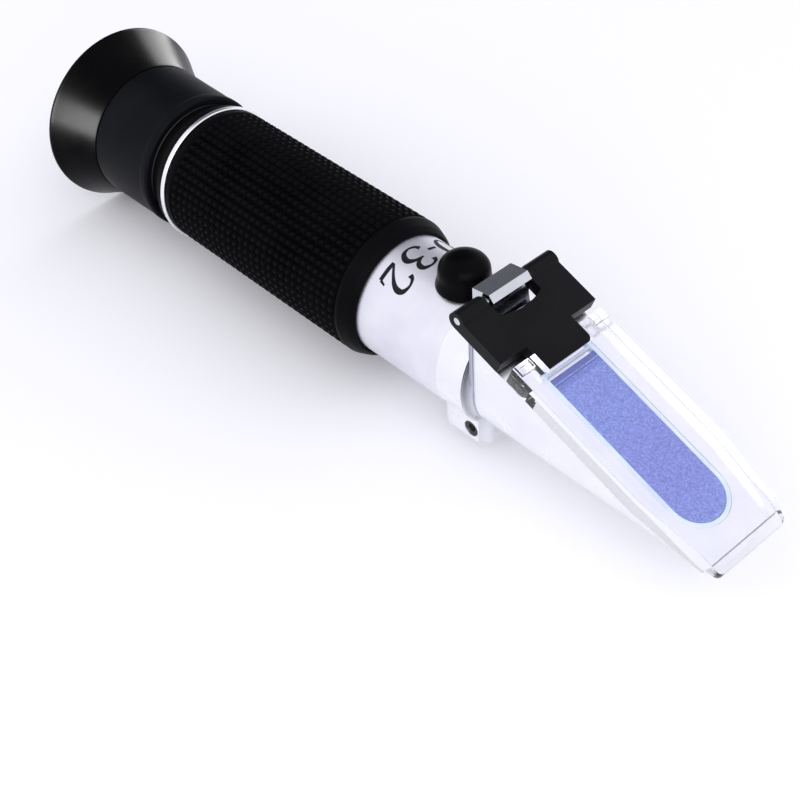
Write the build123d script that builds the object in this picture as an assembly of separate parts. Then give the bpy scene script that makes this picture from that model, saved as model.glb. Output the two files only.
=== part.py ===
"""Hand-held brewing refractometer: one STEP file for each separate piece.

Millimetres. The origin is on the optical axis, in the plane of the eyecup's rim. +X runs along the
axis to the prism tip and +Z is up, so the daylight plate lies on top and the foot pad below.
The sloping prism face has its own plane: s runs down the slope, y across, h along its normal.
"""
import os
from math import asin, cos, radians, sin

from build123d import *

# ---- overall sizes -----------------------------------------------------------------------------
TUBE_R = 12.15                  # bare aluminium barrel
TUBE_WALL = 2.15
TUBE_BORE_R = TUBE_R - TUBE_WALL
SEAM_X = 111.0                  # joint between barrel and prism head
BARE_BARREL = 21.0              # between the grip's end and the seam
GRIP_WALL = 2.1
GRIP_R = TUBE_R + GRIP_WALL     # rubber grip, over the tips of its knurl
GRIP_X0, GRIP_X1 = 34.4, SEAM_X - BARE_BARREL
GRIP_END_R, GRIP_TAPER = TUBE_R + 0.6, 3.1      # chamfered end towards the prism
SLOPE_ANGLE = 21.27             # degrees between the prism face and the optical axis
SLOPE_X, SLOPE_Z = SEAM_X + 17.83, TUBE_R - 0.87    # where the daylight plate's top face starts
PLATE_END_S = 46.7              # tip of the daylight plate

# ---- clearances --------------------------------------------------------------------------------
SEAT_GAP = 0.05                 # between pieces that are screwed, pressed or cemented together
RUN_GAP = 0.06                  # radial running fit of the hinge and of the focusing thread
SLIDE_GAP = 0.10                # round the key that guides the lens cell
OPEN_GAP = 0.30                 # between pieces that only pass each other
SAMPLE_GAP = 0.20               # the film of sample between daylight plate and prism

# ---- eyepiece ----------------------------------------------------------------------------------
RIM_R = 19.0
RIM_BAND = 0.8                  # straight outer band at the rim
CUP_WALL = 1.3
CUP_END = 10.7                  # the flare meets the focus ring here
CUP_END_STEP = 0.2              # the flare ends this much above the ring
FLARE_HOLLOW = 0.15             # how far the flare's middle lies inside the straight cone
BOWL_SWELL_X, BOWL_SWELL = 0.3, 0.15    # how far the bowl's middle lies outside its straight cone
CUP_FLOOR = 9.4
RING_X0, RING_X1, RING_R = 10.8, 28.1, GRIP_R + 0.15
CUP_END_R = RING_R + CUP_END_STEP
RING_RIB, RING_LIP = 0.9, 0.1     # inner rib behind the lens cell; raised lip at the front edge
FOCUS_TRAVEL = 1.5              # each way
RING_WALL, SLEEVE_WALL, CELL_WALL = 1.5, 2.6, 1.3
SLEEVE_R, SLEEVE_X0 = RING_R - RING_WALL, 18.9
CELL_R = SLEEVE_R - SLEEVE_WALL
CELL_BORE_R = CELL_R - CELL_WALL
CUP_APERTURE_R = CELL_BORE_R - 0.6
CELL_X0, CELL_X1 = 14.3, 29.3
CELL_FLANGE_R, CELL_FLANGE = CELL_R + 1.7, 1.6
CELL_LIP = 0.9                  # rear lip of the cell, behind the eye lens
LENS_R = CELL_BORE_R - SEAT_GAP
EYE_LENS_T, EYE_LENS_BULGE = 1.9, 1.6
SPACER_L = 6.6
FIELD_LENS_T, FIELD_LENS_BULGE = 1.6, 1.2
EYE_LENS_X = CELL_X0 + CELL_LIP + SEAT_GAP
SPACER_X = EYE_LENS_X + EYE_LENS_T + SEAT_GAP
FIELD_LENS_X = SPACER_X + SPACER_L + SEAT_GAP
RETAINER_X = FIELD_LENS_X + FIELD_LENS_T + SEAT_GAP
DRAG_GROOVE_X0, DRAG_GROOVE_X1, DRAG_GROOVE = 27.0, 28.3, 1.0   # for the focus ring's O-ring
COLLAR_R, COLLAR_X0, COLLAR_X1 = GRIP_R - 0.15, 31.0, 33.2
SPIGOT_END = 42.0               # end of the sleeve's threaded spigot inside the barrel
TRIM_R = GRIP_R + 0.35
KEY_R, KEY_X = 0.8, 24.6

# ---- calibration screw and its cap -------------------------------------------------------------
BUSH_R, BUSH_SHANK_R = 3.7, 3.1
CAL_SLOT_W, CAL_SLOT_DEEP = 0.8, 1.2
BOSS_R, BOSS_TOP = BUSH_R + 0.5, TUBE_R + 0.25     # round seat on the barrel, inside the cap's skirt
CAL_X = SEAM_X - BOSS_R - 0.5   # the boss stays clear of the head
BUSH_TOP = BOSS_TOP + 3.0
BUSH_GROOVE_Z0, BUSH_GROOVE_Z1, BUSH_GROOVE = BOSS_TOP + 1.0, BOSS_TOP + 1.8, 0.5   # the cap snaps in
CAL_R, CAL_TIP_R, CAL_TOP = 2.2, 1.15, BUSH_TOP - 0.5
CAP_R, CAP_TOP = BUSH_R + 1.6, BUSH_TOP + 2.9

# ---- barrel optics -----------------------------------------------------------------------------
RETICLE_X, RETICLE_R, RETICLE_T = 46.0, TUBE_BORE_R - 1.2, 1.5
RETICLE_APERTURE_R = RETICLE_R - 0.9
BAFFLE_APERTURE_R = 6.6
CARRIAGE_R, CARRIAGE_W = TUBE_BORE_R - 0.8, 5.0
OBJECTIVE_X, OBJECTIVE_R = CAL_X - 15.8, 6.4
BAFFLES = {"baffle_rear": RETICLE_X + 14.0, "baffle_front": OBJECTIVE_X - 16.5}
OBJECTIVE_T, OBJECTIVE_BULGE, OBJECTIVE_WALL = 1.8, 1.1, 1.2
STRIP_Z, STRIP_T, STRIP_W = -(CARRIAGE_R - 1.3), 0.5, 6.0
STRIP_SCREW_R, STRIP_SCREW_HEAD_R = 0.5, 1.0
CARRIAGE_BORE_R = CARRIAGE_R - 3.0

# ---- prism head --------------------------------------------------------------------------------
HEAD_R = TUBE_R
SPIGOT_R, SPIGOT_L = TUBE_R - 1.15, 4.0
SEAL_GROOVE_X0, SEAL_GROOVE_W, SEAL_GROOVE = SEAM_X + 0.7, 1.2, 0.75     # for the head's O-ring
FLANGE_X1 = SEAM_X + 6.2        # front edge of the round flange
HOUSING_X0, HOUSING_R = FLANGE_X1 + 2.1, HEAD_R - 1.25
FLANGE_STEP, COVE_STEP = 0.35, 0.15     # small steps at the two ends of the cove
HOUSING_END_S = 43.9
HEAD_TOP_H = -3.0               # machined prism face of the head
PASSAGE_R = TUBE_BORE_R - 1.4
FOOT_X0, FOOT_X1, FOOT_HALF, FOOT_Z = SEAM_X - 3.4, SEAM_X + 8.0, 8.0, -(HEAD_R + 2.35)
FOOT_CORNER = 2.4
FOOT_SCREW_X, FOOT_SCREW_Z = FOOT_X1 - 3.6, FOOT_Z + 2.3
FOOT_SCREW_R, FOOT_SCREW_HEAD_R = 0.9, 1.6
FOOT_SCREW_SEAT, FOOT_SCREW_TIP = 6.3, 3.0      # depths across the pad, as y
SET_SCREW_R, SET_SCREW_R0 = 0.8, SPIGOT_R - 0.7     # radius, and how near its tip comes to the axis
SET_SCREW_X, SET_SCREW_ANGLE = SEAM_X + 3.0, 35.0       # degrees below the side of the head
PRISM_S0, PRISM_S1, PRISM_HALF = 3.2, 39.1, 5.4
PRISM_REAR_X, PRISM_BOTTOM_Z = SLOPE_X + 2.57, -(HOUSING_R - 3.3)
CHANNEL_R = PRISM_HALF          # light channel behind the prism
SEAL_W, SEAL_T = 0.9, 0.8

# ---- hinge and daylight plate ------------------------------------------------------------------
PIN_S, PIN_H, PIN_R = -13.5, -0.1, 0.8
KNUCKLE_R, KNUCKLE_ROUND = 1.75, 0.9
BLOCK_HALF, BLOCK_TOP_H, BLOCK_UNDER_H = 11.7, 0.8, -1.85
SLOT_HALF, SLOT_S1, SLOT_BOW = 5.0, -9.8, 0.95
WING_S1 = -2.7
STEM_HALF, STEM_S1 = 5.5, 2.9
LUG_HALF = SLOT_HALF - OPEN_GAP
LUG_REAR_R = 14.0               # the lug's rear face, round in plan
PLATE_S0 = -0.8
PLATE_TOP_H = 1.2
PLATE_UNDER_H = HEAD_TOP_H + SAMPLE_GAP
PLATE_OUTLINE = [(PLATE_S0, 10.9), (29.0, 10.9), (42.0, 9.3), (PLATE_END_S, 8.3)]
BEVEL_S0, BEVEL_DROP = 42.4, 1.5    # sloping end of the plate, for a finger
TAB_UNDER_H = -1.8
PLATE_SCREWS = [(0.9, -3.4), (0.9, 3.4)]        # places, as (s, y)
PLATE_SCREW_R, PLATE_SCREW_HEAD_R = 0.6, 1.1

SLOPE = Plane(
    origin=(SLOPE_X, 0, SLOPE_Z),
    x_dir=(cos(radians(SLOPE_ANGLE)), 0, -sin(radians(SLOPE_ANGLE))),
    z_dir=(sin(radians(SLOPE_ANGLE)), 0, cos(radians(SLOPE_ANGLE))),
)
PIN_AXIS = SLOPE.from_local_coords((PIN_S, 0, PIN_H))
LUG_SCREW_X, LUG_SCREW_Y = PIN_AXIS.X + 0.1, 3.0
LUG_SCREW_R, LUG_SCREW_HEAD_R = 0.7, 1.3
LUG_SCREW_SEAT_Z, LUG_SCREW_TOP_Z = HEAD_R - 2.95, HEAD_R + 2.05
FAR = 60.0                      # longer than anything it cuts


# ---- shapes used again and again ---------------------------------------------------------------
def turned(*edges):
    """A solid turned about the optical axis, from a closed outline of (x, radius) edges."""
    return revolve(make_face(list(edges)), Axis.X)


def turned_points(*points):
    return turned(Polyline(*points, close=True))


def tube(x0, x1, outer_r, inner_r):
    return turned_points((x0, inner_r), (x1, inner_r), (x1, outer_r), (x0, outer_r))


def rod(x0, x1, r):
    """A solid cylinder on the optical axis."""
    return Pos((x0 + x1) / 2, 0, 0) * Rot(0, 90, 0) * Cylinder(r, x1 - x0)


def post(x, y, z0, z1, r):
    return Pos(x, y, (z0 + z1) / 2) * Cylinder(r, z1 - z0)


def cross_rod(x, z, y0, y1, r):
    return Pos(x, (y0 + y1) / 2, z) * Rot(90, 0, 0) * Cylinder(r, y1 - y0)


def block(x0, x1, y0, y1, z0, z1):
    return Pos((x0 + x1) / 2, (y0 + y1) / 2, (z0 + z1) / 2) * Box(x1 - x0, y1 - y0, z1 - z0)


def on_slope(shape):
    """Move a shape drawn in (s, y, h) onto the sloping face."""
    return SLOPE * shape


def slope_block(s0, s1, half, h0, h1):
    return on_slope(block(s0, s1, -half, half, h0, h1))


def lens(x, r, edge, bulge):
    """A plano-convex lens: flat towards the eye at x, a seat at its edge, a bulge on the far side."""
    bulge_r = r - 1.3
    sphere_r = (bulge_r ** 2 + bulge ** 2) / (2 * bulge)
    centre_x = x + edge + bulge - sphere_r
    half_angle = asin(bulge_r / sphere_r) / 2
    middle = (centre_x + sphere_r * cos(half_angle), sphere_r * sin(half_angle))
    flat = Polyline((x + edge + bulge, 0), (x, 0), (x, r), (x + edge, r), (x + edge, bulge_r))
    return turned(flat, ThreePointArc((x + edge, bulge_r), middle, (x + edge + bulge, 0)))


# ---- eyepiece ----------------------------------------------------------------------------------
def eyecup():
    """Flared rubber cup with a deep bowl; its spigot screws into the focus ring."""
    spigot_r = CELL_FLANGE_R
    spigot_end = CELL_X0 - OPEN_GAP
    wide = RIM_R - CUP_WALL
    flare_mid = ((RIM_BAND + CUP_END) / 2 - FLARE_HOLLOW, (RIM_R + CUP_END_R) / 2 - FLARE_HOLLOW)
    bowl_mid = ((RIM_BAND + CUP_FLOOR) / 2 + BOWL_SWELL_X, (wide + spigot_r) / 2 + BOWL_SWELL)
    outer = ThreePointArc((RIM_BAND, RIM_R), flare_mid, (CUP_END, CUP_END_R))
    back = Polyline((CUP_END, CUP_END_R), (CUP_END, spigot_r), (spigot_end, spigot_r),
                    (spigot_end, CUP_APERTURE_R), (CUP_FLOOR, CUP_APERTURE_R), (CUP_FLOOR, spigot_r))
    bowl = ThreePointArc((CUP_FLOOR, spigot_r), bowl_mid, (RIM_BAND, wide))
    rim = Polyline((RIM_BAND, wide), (0, RIM_R - 0.6), (0, RIM_R), (RIM_BAND, RIM_R))
    return turned(outer, back, bowl, rim)


def focus_ring():
    """Satin black ring that turns on the fixed sleeve and carries the eyecup."""
    rib_x0 = CELL_X0 + CELL_FLANGE + OPEN_GAP
    rib_x1 = rib_x0 + RING_RIB
    front_r = CELL_FLANGE_R + SEAT_GAP
    return turned_points(
        (RING_X0, front_r), (rib_x0, front_r), (rib_x0, CELL_R + OPEN_GAP), (rib_x1, CELL_R + OPEN_GAP),
        (rib_x1, SLEEVE_R + RUN_GAP), (RING_X1, SLEEVE_R + RUN_GAP), (RING_X1, RING_R - 0.3),
        (RING_X1 - 0.4, RING_R + RING_LIP), (RING_X1 - 1.6, RING_R + RING_LIP), (RING_X1 - 1.9, RING_R),
        (RING_X0 + 0.4, CUP_END_R), (RING_X0, CUP_END_R - 0.2))


def lens_cell():
    """Brass-threaded cell that slides in the sleeve, kept from turning by a key in its slot."""
    flange_x1 = CELL_X0 + CELL_FLANGE
    lip_r = CUP_APERTURE_R - 0.2
    body = turned_points(
        (CELL_X0, lip_r), (CELL_X0 + CELL_LIP, lip_r), (CELL_X0 + CELL_LIP, CELL_BORE_R),
        (CELL_X1, CELL_BORE_R),
        (CELL_X1, CELL_R), (flange_x1, CELL_R), (flange_x1, CELL_FLANGE_R - SEAT_GAP - 0.1),
        (CELL_X0, CELL_FLANGE_R - SEAT_GAP - 0.1))
    slot_reach = FOCUS_TRAVEL + KEY_R + SLIDE_GAP
    slot_half = KEY_R + SLIDE_GAP
    slot = block(KEY_X - slot_reach, KEY_X + slot_reach, -slot_half, slot_half, CELL_BORE_R - 0.5, FAR)
    return body - slot


def eye_lens():
    return lens(EYE_LENS_X, LENS_R, EYE_LENS_T, EYE_LENS_BULGE)


def lens_spacer():
    return tube(SPACER_X, SPACER_X + SPACER_L, LENS_R, LENS_R - 1.0)


def field_lens():
    return lens(FIELD_LENS_X, LENS_R, FIELD_LENS_T, FIELD_LENS_BULGE)


def lens_retainer():
    """Threaded ring that holds the two lenses and the spacer in their cell."""
    ring = tube(RETAINER_X, CELL_X1 - 0.3, LENS_R, LENS_R - 1.1)
    notch = block(CELL_X1 - 1.1, CELL_X1, -FAR, FAR, -0.5, 0.5)
    return ring - notch


def eyepiece_sleeve():
    """Fixed sleeve: outer thread for the focus ring, collar, and a spigot screwed into the barrel."""
    bore_r = CELL_R + RUN_GAP
    spigot_bore_r = TUBE_BORE_R - 1.4
    sleeve = turned_points(
        (SLEEVE_X0, bore_r), (COLLAR_X1 - 1.0, bore_r), (COLLAR_X1 - 1.0, spigot_bore_r),
        (SPIGOT_END, spigot_bore_r), (SPIGOT_END, TUBE_BORE_R - SEAT_GAP),
        (COLLAR_X1, TUBE_BORE_R - SEAT_GAP), (COLLAR_X1, COLLAR_R), (COLLAR_X0 + 0.5, COLLAR_R),
        (COLLAR_X0, COLLAR_R - 0.5), (COLLAR_X0, SLEEVE_R), (DRAG_GROOVE_X1, SLEEVE_R),
        (DRAG_GROOVE_X1, SLEEVE_R - DRAG_GROOVE), (DRAG_GROOVE_X0, SLEEVE_R - DRAG_GROOVE),
        (DRAG_GROOVE_X0, SLEEVE_R), (SLEEVE_X0 + 0.4, SLEEVE_R), (SLEEVE_X0, SLEEVE_R - 0.4))
    return sleeve - post(KEY_X, 0, 0, FAR, KEY_R + SEAT_GAP)


def guide_key():
    """Radial pin in the sleeve that runs in the lens cell's slot."""
    return post(KEY_X, 0, CELL_BORE_R + OPEN_GAP, SLEEVE_R - 0.2, KEY_R)


def focus_o_ring():
    """Rubber ring that gives the focus ring its drag."""
    centre_x = (DRAG_GROOVE_X0 + DRAG_GROOVE_X1) / 2
    ring_r = DRAG_GROOVE / 2 - SEAT_GAP
    return turned(Pos(centre_x, SLEEVE_R - DRAG_GROOVE / 2) * CenterArc((0, 0), ring_r, 0, 360))


def trim_ring():
    edge = 0.25
    inner_r = TUBE_BORE_R + SEAT_GAP
    x0, x1 = COLLAR_X1 + SEAT_GAP, GRIP_X0 - SEAT_GAP
    return turned_points((x0, inner_r), (x1, inner_r), (x1, TRIM_R - edge), (x1 - edge, TRIM_R),
                         (x0 + edge, TRIM_R), (x0, TRIM_R - edge))


# ---- barrel ------------------------------------------------------------------------------------
def rubber_grip():
    """Rubber sleeve with a plain chamfered end towards the prism."""
    inner_r = TUBE_R + SEAT_GAP
    return turned_points(
        (GRIP_X0, inner_r), (GRIP_X1, inner_r), (GRIP_X1, GRIP_END_R), (GRIP_X1 - GRIP_TAPER, GRIP_R),
        (GRIP_X0 + 0.4, GRIP_R), (GRIP_X0, GRIP_R - 0.4))


def body_tube():
    """Aluminium barrel with a spigot for the head, an O-ring groove and the screw's hole on top."""
    spigot_x1 = SEAM_X + SPIGOT_L
    groove_x1 = SEAL_GROOVE_X0 + SEAL_GROOVE_W
    groove_r = SPIGOT_R - SEAL_GROOVE
    barrel = turned_points(
        (GRIP_X0, TUBE_BORE_R), (spigot_x1, TUBE_BORE_R), (spigot_x1, SPIGOT_R), (groove_x1, SPIGOT_R),
        (groove_x1, groove_r), (SEAL_GROOVE_X0, groove_r), (SEAL_GROOVE_X0, SPIGOT_R), (SEAM_X, SPIGOT_R),
        (SEAM_X, TUBE_R - 0.1), (SEAM_X - 0.1, TUBE_R), (GRIP_X0, TUBE_R))
    barrel += post(CAL_X, 0, TUBE_BORE_R + 0.5, BOSS_TOP, BOSS_R)
    for side in (-1, 1):
        barrel -= set_screw_rod(side, SET_SCREW_R0 - SEAT_GAP, FAR, SET_SCREW_R + SEAT_GAP)
    return barrel - post(CAL_X, 0, 0, FAR, BUSH_SHANK_R + SEAT_GAP)


def head_o_ring():
    centre_x = SEAL_GROOVE_X0 + SEAL_GROOVE_W / 2
    return turned(Pos(centre_x, SPIGOT_R - 0.36) * CenterArc((0, 0), 0.34, 0, 360))


def reticle_holder():
    """Black cup that locates the scale disc in the focal plane of the eyepiece."""
    outer_r = TUBE_BORE_R - SEAT_GAP
    seat_x = RETICLE_X - SEAT_GAP
    return turned_points(
        (RETICLE_X - 2.0, RETICLE_APERTURE_R), (seat_x, RETICLE_APERTURE_R), (seat_x, RETICLE_R + SEAT_GAP),
        (RETICLE_X + 5.0, RETICLE_R + SEAT_GAP), (RETICLE_X + 5.0, outer_r), (RETICLE_X - 2.0, outer_r))


def reticle():
    return rod(RETICLE_X, RETICLE_X + RETICLE_T, RETICLE_R)


def reticle_ring():
    start = RETICLE_X + RETICLE_T + SEAT_GAP
    return tube(start, start + 1.6, RETICLE_R, RETICLE_APERTURE_R)


def baffle(x):
    """Thin stop that keeps light from the barrel's wall out of the view."""
    outer_r = TUBE_BORE_R - SEAT_GAP
    return tube(x, x + 1.0, outer_r, BAFFLE_APERTURE_R) + tube(x, x + 4.0, outer_r, outer_r - 0.8)


# ---- objective, moved by the calibration screw ---------------------------------------------------
def strip_screw_places():
    return [(CAL_X - 1.2, 0.0), (CAL_X + 1.2, 0.0), (OBJECTIVE_X + 1.8, 0.0)]


def strip_screw_holes():
    hole_r = STRIP_SCREW_R + SEAT_GAP
    return [post(x, y, STRIP_Z - 2.0, STRIP_Z + 1.3, hole_r) for x, y in strip_screw_places()]


def objective_carriage():
    """Ring under the calibration screw; the screw's tip lifts and lowers it."""
    x0, x1 = CAL_X - CARRIAGE_W / 2, CAL_X + CARRIAGE_W / 2
    ring = tube(x0, x1, CARRIAGE_R, CARRIAGE_BORE_R)
    ring -= block(x0 - 1, x1 + 1, -FAR, FAR, -FAR, STRIP_Z)
    ring -= post(CAL_X, 0, 4.0, FAR, CAL_TIP_R + RUN_GAP)
    for hole in strip_screw_holes():
        ring -= hole
    return ring


def bimetal_strip():
    """Two-metal leaf that shifts the objective as the temperature changes."""
    x0, x1 = OBJECTIVE_X - 0.5, CAL_X + CARRIAGE_W / 2
    top = STRIP_Z - SEAT_GAP
    leaf = block(x0, x1, -STRIP_W / 2, STRIP_W / 2, top - STRIP_T, top)
    for hole in strip_screw_holes():
        leaf -= hole
    return leaf


def strip_screws():
    """Three identical small screws through the leaf."""
    under = STRIP_Z - SEAT_GAP - STRIP_T - SEAT_GAP
    screws = []
    for x, y in strip_screw_places():
        shank = post(x, y, under, STRIP_Z + 1.1, STRIP_SCREW_R)
        head = post(x, y, under - 0.5, under, STRIP_SCREW_HEAD_R)
        screws.append(shank + head)
    return Compound(children=screws)


def objective_cell():
    x0, x1 = OBJECTIVE_X - 0.5, OBJECTIVE_X + 4.2
    ring = tube(x0, x1, OBJECTIVE_R + OBJECTIVE_WALL, OBJECTIVE_R + SEAT_GAP)
    ring += tube(x0, x0 + 0.4, OBJECTIVE_R + OBJECTIVE_WALL, OBJECTIVE_R - 0.6)
    foot = block(x0, x1, -2.6, 2.6, STRIP_Z, -OBJECTIVE_R) - rod(x0 - 1, x1 + 1, OBJECTIVE_R + 0.6)
    cell = ring + foot
    for hole in strip_screw_holes():
        cell -= hole
    return cell


def objective_lens():
    return lens(OBJECTIVE_X - SEAT_GAP, OBJECTIVE_R, OBJECTIVE_T, OBJECTIVE_BULGE)


# ---- calibration screw -------------------------------------------------------------------------
def calibration_bush():
    """Turned bush on the barrel's boss; the rubber cap snaps over its head."""
    shank = post(CAL_X, 0, TUBE_BORE_R + 0.3, BOSS_TOP + 0.6, BUSH_SHANK_R)
    head = post(CAL_X, 0, BOSS_TOP + SEAT_GAP, BUSH_TOP, BUSH_R)
    groove = post(CAL_X, 0, BUSH_GROOVE_Z0, BUSH_GROOVE_Z1, BUSH_R + 1.0)
    groove -= post(CAL_X, 0, BUSH_GROOVE_Z0, BUSH_GROOVE_Z1, BUSH_R - BUSH_GROOVE)
    return shank + head - groove - post(CAL_X, 0, 0, FAR, CAL_R + RUN_GAP)


def calibration_screw():
    """Slotted screw with a stepped tip that reaches the carriage."""
    body = post(CAL_X, 0, TUBE_BORE_R + 0.2, CAL_TOP, CAL_R)
    tip = post(CAL_X, 0, CARRIAGE_R - 2.6, TUBE_BORE_R + 0.4, CAL_TIP_R)
    slot = block(CAL_X - FAR, CAL_X + FAR, -CAL_SLOT_W / 2, CAL_SLOT_W / 2, CAL_TOP - CAL_SLOT_DEEP, FAR)
    return body + tip - slot


def calibration_cap():
    """Domed rubber cap with a slightly flared skirt; it pulls off its bush."""
    base_z = TUBE_R - 0.6
    outline = [
        Polyline((0, CAP_TOP), (0, base_z), (CAP_R, base_z), (CAP_R, base_z + 0.5)),
        Spline((CAP_R, base_z + 0.5), (CAP_R - 0.45, CAP_TOP - 4.3), (CAP_R - 0.65, CAP_TOP - 2.3),
               (CAP_R - 1.9, CAP_TOP - 0.7), (0, CAP_TOP), tangents=[(-0.6, 1), (-1, 0)]),
    ]
    cap = Pos(CAL_X, 0, 0) * revolve(Plane.XZ * make_face(outline), Axis.Z)
    cap -= rod(CAL_X - FAR, CAL_X + FAR, TUBE_R + OPEN_GAP)
    cap -= post(CAL_X, 0, 0, BOSS_TOP + OPEN_GAP, BOSS_R + OPEN_GAP)
    return cap - post(CAL_X, 0, 0, BUSH_TOP + 0.5, BUSH_R + OPEN_GAP)


# ---- prism head --------------------------------------------------------------------------------
def prism_outline(grow=0.0):
    """Long window with a square near end and a round far end, in (s, y)."""
    half = PRISM_HALF + grow
    s0 = PRISM_S0 - grow
    centre_s = PRISM_S1 - PRISM_HALF
    sides = Polyline((centre_s, -half), (s0, -half), (s0, half), (centre_s, half))
    end = ThreePointArc((centre_s, half), (centre_s + half, 0), (centre_s, -half))
    return make_face([sides, end])


def prism_blank(grow=0.0):
    """Glass wedge: sloping measuring face, flat bottom and an upright rear face."""
    depth = 25.0
    wedge = on_slope(Pos(0, 0, HEAD_TOP_H) * extrude(prism_outline(grow), -depth))
    wedge -= block(0, 400, -FAR, FAR, -2 * FAR, PRISM_BOTTOM_Z - grow)
    return wedge - block(0, PRISM_REAR_X - grow, -FAR, FAR, -FAR, FAR)


def set_screw_place(side):
    """Radial set screw low on the flange, holding the head to the barrel's spigot."""
    return Pos(SET_SCREW_X, 0, 0) * Rot(-side * (90 + SET_SCREW_ANGLE), 0, 0)


def set_screw_rod(side, r0, r1, r):
    return set_screw_place(side) * Pos(0, 0, (r0 + r1) / 2) * Cylinder(r, r1 - r0)


def foot_pad():
    """Rounded pad below the head with a flat underside; its rear end reaches under the barrel."""
    length = FOOT_X1 - FOOT_X0
    plan = RectangleRounded(length, 2 * FOOT_HALF, FOOT_CORNER)
    pad = Pos((FOOT_X0 + FOOT_X1) / 2, 0, FOOT_Z) * extrude(plan, HEAD_R - 3.65)
    return pad - rod(FOOT_X0 - 1, SEAM_X, TUBE_R + OPEN_GAP)


def prism_head():
    """Cast head: round flange, cove, round-bottomed housing cut by the slope, and the foot pad."""
    cove_end = (HOUSING_X0, HOUSING_R + COVE_STEP)
    flange = turned(
        Polyline(cove_end, (HOUSING_X0, 0), (SEAM_X, 0), (SEAM_X, HEAD_R), (FLANGE_X1, HEAD_R),
                 (FLANGE_X1, HEAD_R - FLANGE_STEP)),
        ThreePointArc((FLANGE_X1, HEAD_R - FLANGE_STEP), (FLANGE_X1 + 0.7, HEAD_R - 0.85), cove_end))
    length = SLOPE_X + PLATE_END_S - FLANGE_X1
    housing = rod(FLANGE_X1, FLANGE_X1 + length, HOUSING_R)
    housing += block(FLANGE_X1 + 1.0, FLANGE_X1 + length, -HOUSING_R, HOUSING_R, 0, 16.0)
    head = flange + housing + foot_pad()
    head -= slope_block(-FAR, 2 * FAR, FAR, HEAD_TOP_H, FAR)
    head -= slope_block(HOUSING_END_S, 2 * FAR, FAR, -FAR, FAR)
    head -= rod(SEAM_X - 1, SEAM_X + SPIGOT_L + 0.2, SPIGOT_R + SEAT_GAP)
    head -= rod(SEAM_X, HOUSING_X0 + 1.0, PASSAGE_R)
    head -= rod(SEAM_X, PRISM_REAR_X + 1.0, CHANNEL_R)
    head -= prism_blank(SEAT_GAP)
    head -= on_slope(Pos(0, 0, HEAD_TOP_H - SEAL_T - SEAT_GAP) *
                     extrude(prism_outline(SEAL_W + SEAT_GAP), SEAL_T + 1.0))
    for side in (-1, 1):
        head -= set_screw_rod(side, SET_SCREW_R0, FAR, SET_SCREW_R + SEAT_GAP)
        head -= foot_rod(side, FOOT_SCREW_SEAT, FAR, FOOT_SCREW_HEAD_R + SEAT_GAP)
        head -= foot_rod(side, FOOT_SCREW_TIP, FAR, FOOT_SCREW_R + SEAT_GAP)
        head -= post(LUG_SCREW_X, side * LUG_SCREW_Y, 0, FAR, LUG_SCREW_R + SEAT_GAP)
        head -= post(LUG_SCREW_X, side * LUG_SCREW_Y, 0, LUG_SCREW_SEAT_Z, LUG_SCREW_HEAD_R + SEAT_GAP)
    return head


def main_prism():
    return prism_blank()


def prism_seal():
    """Pale cemented frame round the prism, flush with the head."""
    frame = prism_outline(SEAL_W) - prism_outline(SEAT_GAP)
    return on_slope(Pos(0, 0, HEAD_TOP_H - SEAL_T) * extrude(frame, SEAL_T))


def head_set_screws():
    screws = []
    for side in (-1, 1):
        body = set_screw_rod(side, SET_SCREW_R0, HEAD_R - 0.25, SET_SCREW_R)
        screws.append(body - set_screw_rod(side, HEAD_R - 0.9, FAR, SET_SCREW_R / 2))
    return Compound(children=screws)


def foot_rod(side, y0, y1, r):
    """A rod across one side of the foot pad, on its screw's axis."""
    return cross_rod(FOOT_SCREW_X, FOOT_SCREW_Z, *sorted((side * y0, side * y1)), r)


def foot_screws():
    """Black socket screws, one in each side of the foot pad."""
    screws = []
    for side in (-1, 1):
        head = foot_rod(side, FOOT_SCREW_SEAT + SEAT_GAP, FOOT_HALF - 0.2, FOOT_SCREW_HEAD_R)
        shank = foot_rod(side, FOOT_SCREW_TIP + 0.1, FOOT_SCREW_SEAT + OPEN_GAP, FOOT_SCREW_R)
        socket = foot_rod(side, FOOT_HALF - 1.0, FAR, FOOT_SCREW_HEAD_R / 2)
        screws.append(head + shank - socket)
    return Compound(children=screws)


# ---- hinge -------------------------------------------------------------------------------------
def hinge_lug():
    """Plated lug saddled on the flange's crown: flat top, hollow front and the pin's eye."""
    x, z = PIN_AXIS.X, PIN_AXIS.Z
    base_z = HEAD_R - 1.15
    rear = Polyline((x + 1.8, base_z), (x - 4.0, base_z), (x - 4.0, z + 0.2), (x - 3.2, z + 1.4),
                    (x + 0.8, z + 2.0), (x + 1.9, z + 0.8))
    front = ThreePointArc((x + 1.9, z + 0.8), (x + 1.2, z - 1.8), (x + 1.8, base_z))
    side = Plane.XZ * make_face([rear, front])
    lug = extrude(side, LUG_HALF, both=True)
    lug &= post(x - 4.0 + LUG_REAR_R, 0, 0, FAR, LUG_REAR_R)
    lug -= rod(x - FAR, x + FAR, HEAD_R + SEAT_GAP)
    lug -= cross_rod(x, z, -FAR, FAR, PIN_R + SEAT_GAP)
    for y in (-LUG_SCREW_Y, LUG_SCREW_Y):
        lug -= post(LUG_SCREW_X, y, 0, LUG_SCREW_TOP_Z + 0.1, LUG_SCREW_R + SEAT_GAP)
    return lug


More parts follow.
